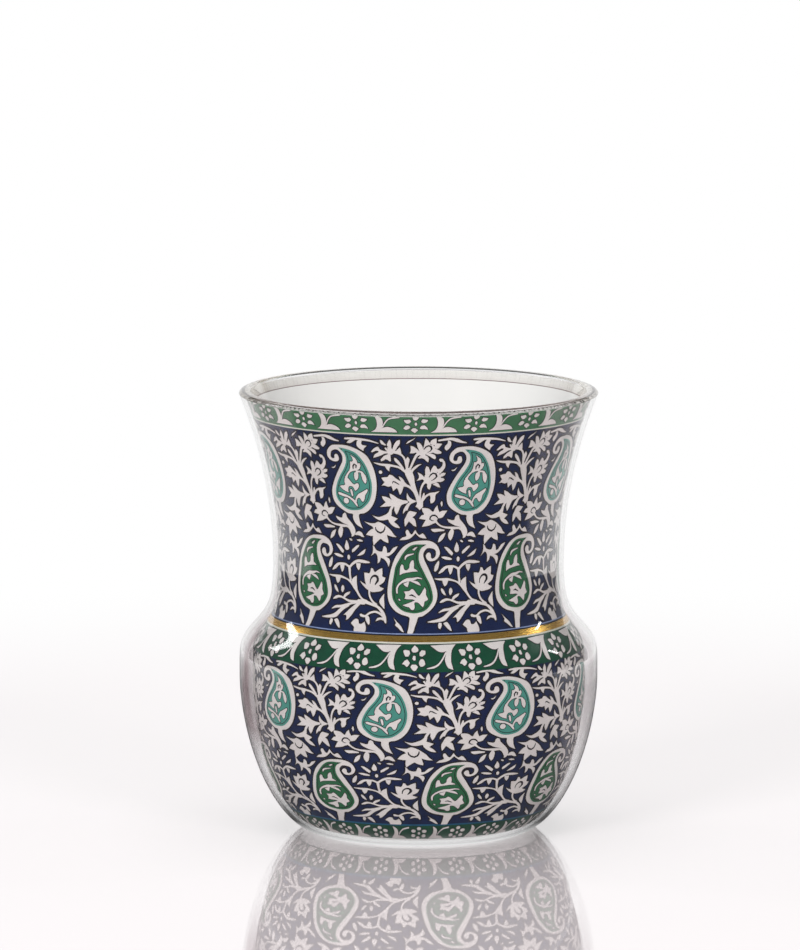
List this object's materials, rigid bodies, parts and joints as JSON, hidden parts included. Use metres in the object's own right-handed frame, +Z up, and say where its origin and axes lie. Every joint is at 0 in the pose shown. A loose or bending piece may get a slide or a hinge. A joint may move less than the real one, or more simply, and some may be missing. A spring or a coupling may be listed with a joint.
{
  "type": "tea glass",
  "caption": "Double-walled tea glass with a flared neck and round belly: a clear outer glass around a white inner cup printed with paisleys, borders and a gold waist band.",
  "frame": {"origin": "middle of the flat foot, on the surface that the glass stands on", "axes": "+Z up along the glass's own axis, -Y towards the picture's camera, +X to that camera's right"},
  "size_m": [0.0716, 0.0716, 0.0886],
  "materials": {
    "clear_glass": "clear, thin, polished",
    "opal_glass": "white opal, polished, not see-through",
    "bond_line": "fine grey line",
    "white_enamel": "fired white enamel, gloss",
    "green_enamel": "fired enamel, gloss",
    "deep_green_enamel": "fired enamel, gloss",
    "navy_enamel": "fired enamel, gloss",
    "light_blue_enamel": "fired enamel, gloss",
    "blue_enamel": "fired enamel, gloss",
    "black_enamel": "fired enamel, gloss",
    "pale_enamel": "fired enamel, gloss",
    "cream_enamel": "fired enamel, gloss",
    "teal_enamel": "fired enamel, gloss",
    "leaf_green_enamel": "fired enamel, gloss",
    "gold": "burnished gold, bright"
  },
  "bodies": {
    "root": {"outer_glass": "clear_glass", "inner_cup": "opal_glass", "rim_collar": "clear_glass", "rim_seam": "bond_line", "neck_white_ground": "white_enamel", "belly_white_ground": "white_enamel", "top_border_ground": "green_enamel", "top_border_line": "pale_enamel", "neck_ground": "navy_enamel", "waist_blue_line": "light_blue_enamel", "waist_dark_line": "black_enamel", "waist_gold_band": "gold", "waist_pale_line": "pale_enamel", "shoulder_border_ground": "deep_green_enamel", "belly_ground": "navy_enamel", "foot_border_line": "blue_enamel", "foot_border_ground": "deep_green_enamel", "neck_teal_paisleys": "cream_enamel", "neck_teal_fields": "teal_enamel", "neck_green_paisleys": "cream_enamel", "neck_green_fields": "leaf_green_enamel", "belly_teal_paisleys": "cream_enamel", "belly_teal_fields": "teal_enamel", "belly_green_paisleys": "cream_enamel", "belly_green_fields": "leaf_green_enamel"}
  },
  "joints": []
}
